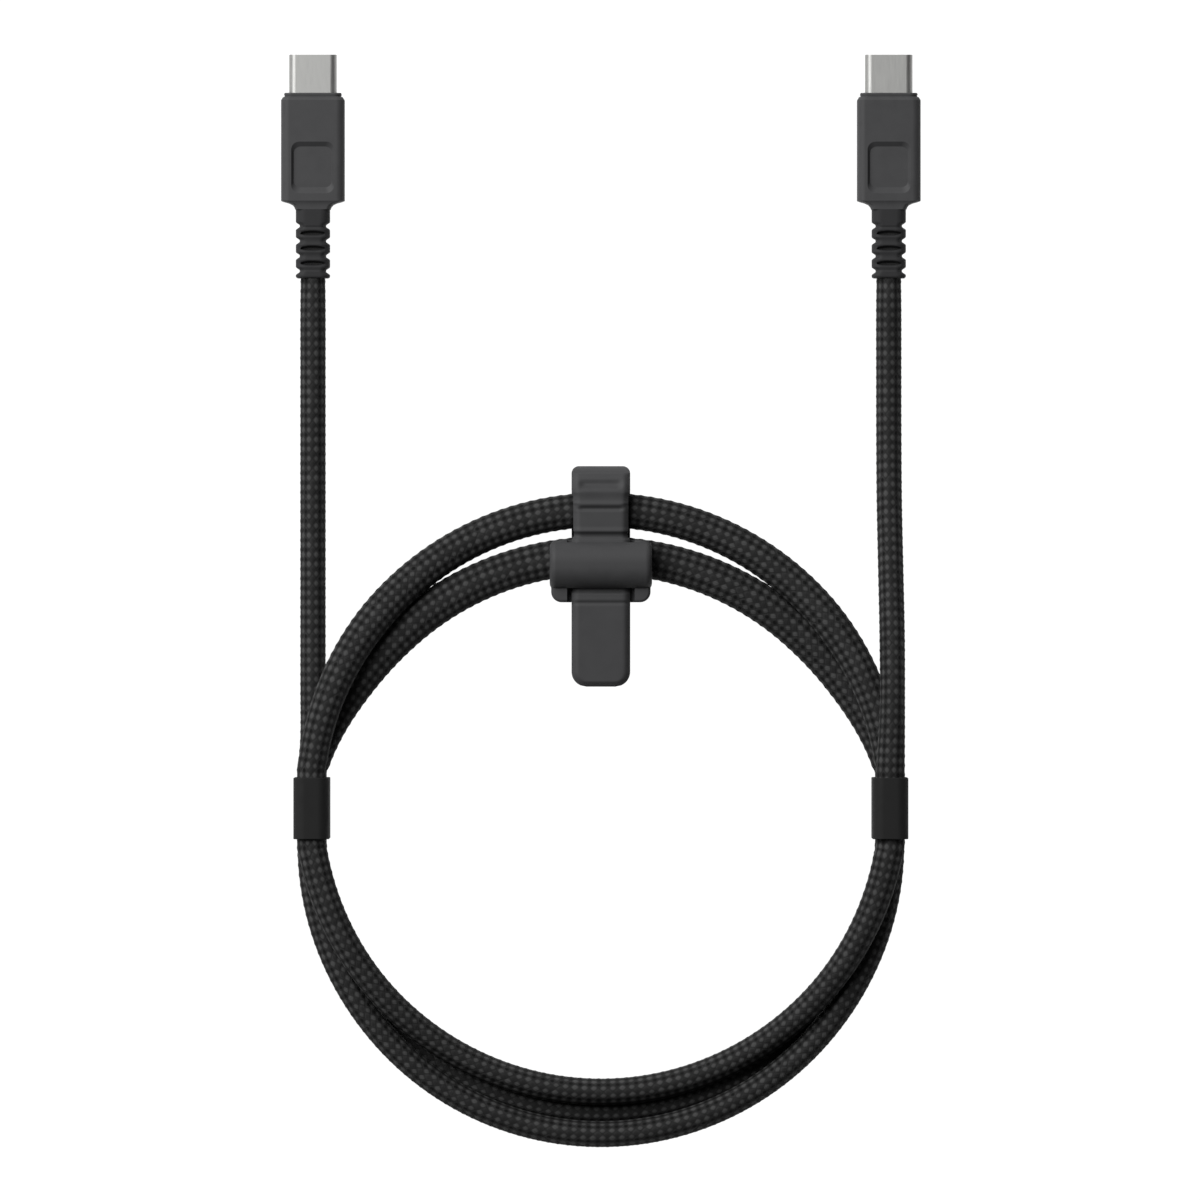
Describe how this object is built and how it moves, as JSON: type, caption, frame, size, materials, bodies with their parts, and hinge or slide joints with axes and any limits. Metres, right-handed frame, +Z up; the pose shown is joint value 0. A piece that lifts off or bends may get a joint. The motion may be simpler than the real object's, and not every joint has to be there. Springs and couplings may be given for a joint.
{
  "type": "charging cable",
  "caption": "Coiled braided charging cable with a USB-C plug on each end, two side bands and a rubber cable strap with a keeper.",
  "frame": {"origin": "on the surface the cable lies on, under the middle of the box round the plugs, bands and strap", "axes": "+Y the way both plugs point, +Z up from the surface, +X from the left plug to the right one"},
  "size_m": [0.1108, 0.1891, 0.0162],
  "materials": {
    "plug_steel": "drawn stainless steel, satin",
    "black_nylon": "moulded glass-filled nylon",
    "gold_contact": "gold-plated copper alloy",
    "circuit_board": "solder-masked glass-epoxy board",
    "chip_epoxy": "moulded epoxy package",
    "tinned_steel": "tin-plated steel sheet",
    "red_insulation": "extruded wire insulation",
    "black_insulation": "extruded wire insulation",
    "blue_insulation": "extruded wire insulation",
    "green_insulation": "extruded wire insulation",
    "white_insulation": "extruded wire insulation",
    "cover_plastic": "moulded plastic, fine matt texture",
    "relief_rubber": "moulded thermoplastic elastomer, matt",
    "woven_sleeve": "braided nylon yarn, charcoal and black",
    "core_jacket": "extruded soft PVC",
    "band_rubber": "moulded rubber sleeve, matt",
    "strap_rubber": "moulded silicone rubber, matt"
  },
  "bodies": {
    "root": {"cable_sleeve": "woven_sleeve", "cable_core": "core_jacket"},
    "left_plug": {"left_plug_shell": "plug_steel", "left_plug_insulator": "black_nylon", "left_contact_row_top": "gold_contact", "left_contact_row_bottom": "gold_contact", "left_latch_plate": "plug_steel", "left_paddle_card": "circuit_board", "left_marker_chip": "chip_epoxy", "left_shield_can": "tinned_steel", "left_vbus_wire": "red_insulation", "left_ground_wire": "black_insulation", "left_cc_wire": "blue_insulation", "left_data_plus_wire": "green_insulation", "left_data_minus_wire": "white_insulation", "left_plug_cover": "cover_plastic", "left_strain_relief": "relief_rubber"},
    "right_plug": {"right_plug_shell": "plug_steel", "right_plug_insulator": "black_nylon", "right_contact_row_top": "gold_contact", "right_contact_row_bottom": "gold_contact", "right_latch_plate": "plug_steel", "right_paddle_card": "circuit_board", "right_marker_chip": "chip_epoxy", "right_shield_can": "tinned_steel", "right_vbus_wire": "red_insulation", "right_ground_wire": "black_insulation", "right_cc_wire": "blue_insulation", "right_data_plus_wire": "green_insulation", "right_data_minus_wire": "white_insulation", "right_plug_cover": "cover_plastic", "right_strain_relief": "relief_rubber"},
    "left_band": {"left_coil_band": "band_rubber"},
    "right_band": {"right_coil_band": "band_rubber"},
    "strap": {"strap_keeper": "strap_rubber", "strap_loop": "strap_rubber"},
    "strap_tail": {"strap_tail": "strap_rubber"}
  },
  "joints": [
    {"name": "left_plug_flex", "type": "hinge", "parent": "root", "child": "left_plug", "pos_m": [-0.0499, 0.035, 0.0031], "axis": [0, 0, 1], "range_deg": [-35, 35], "stiffness_Nm_per_rad": 0.02, "deforming": ["left_strain_relief"]},
    {"name": "right_plug_flex", "type": "hinge", "parent": "root", "child": "right_plug", "pos_m": [0.0499, 0.035, 0.0031], "axis": [0, 0, 1], "range_deg": [-35, 35], "stiffness_Nm_per_rad": 0.02, "deforming": ["right_strain_relief"]},
    {"name": "strap_round_coil", "type": "hinge", "parent": "root", "child": "strap", "pos_m": [0, -0.0651, 0.004], "axis": [0, 0, 1], "range_deg": [-10, 10]},
    {"name": "strap_tail_lift", "type": "hinge", "parent": "strap", "child": "strap_tail", "pos_m": [0, -0.027, 0.0093], "axis": [-1, 0, 0], "range_deg": [-8, 75], "stiffness_Nm_per_rad": 0.0006},
    {"name": "left_band_slide", "type": "slide", "parent": "root", "child": "left_band", "axis": [0, 1, 0], "range_m": [-0.0012, 0.0012]},
    {"name": "right_band_slide", "type": "slide", "parent": "root", "child": "right_band", "axis": [0, 1, 0], "range_m": [-0.0012, 0.0012]}
  ]
}
